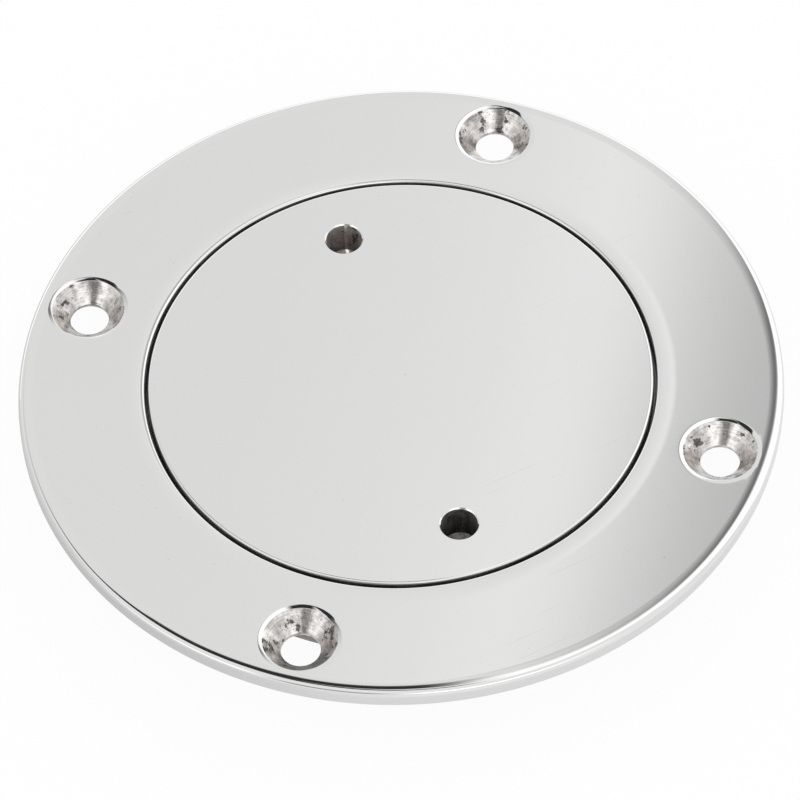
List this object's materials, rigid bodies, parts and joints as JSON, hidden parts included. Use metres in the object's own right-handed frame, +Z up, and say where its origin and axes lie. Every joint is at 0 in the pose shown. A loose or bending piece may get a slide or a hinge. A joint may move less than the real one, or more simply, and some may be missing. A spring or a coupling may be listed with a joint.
{
  "type": "deck inspection plate",
  "caption": "Round polished deck plate: a countersunk flange with a threaded collar and a flush cover that screws in over a rubber ring, turned with a pin key.",
  "frame": {"origin": "centre of the screw circle, in the plane of the flange's underside, which lies on the deck", "axes": "+Z up out of the deck, along the axis of the flange, collar and cover; the screw holes lie between the X and Y axes"},
  "size_m": [0.125, 0.125, 0.0155],
  "materials": {
    "ring_steel": "mirror-polished stainless steel, turned finish in the countersinks",
    "cover_steel": "mirror-polished stainless steel head, turned finish below",
    "seal_rubber": "matt black moulded rubber"
  },
  "bodies": {
    "deck_ring": {"deck_ring": "ring_steel"},
    "seal": {"o_ring": "seal_rubber"},
    "cover": {"cover": "cover_steel"}
  },
  "joints": [
    {"name": "cover_lift", "type": "slide", "parent": "deck_ring", "child": "seal", "axis": [0, 0, 1], "range_m": [0, 0.0075]},
    {"name": "cover_turn", "type": "hinge", "parent": "seal", "child": "cover", "pos_m": [0, 0, 0], "axis": [0, 0, 1], "range_deg": [0, 900]}
  ],
  "couplings": [
    {"joint": "cover_lift", "follows": "cover_turn", "m_per_rad": 0.00047746}
  ]
}
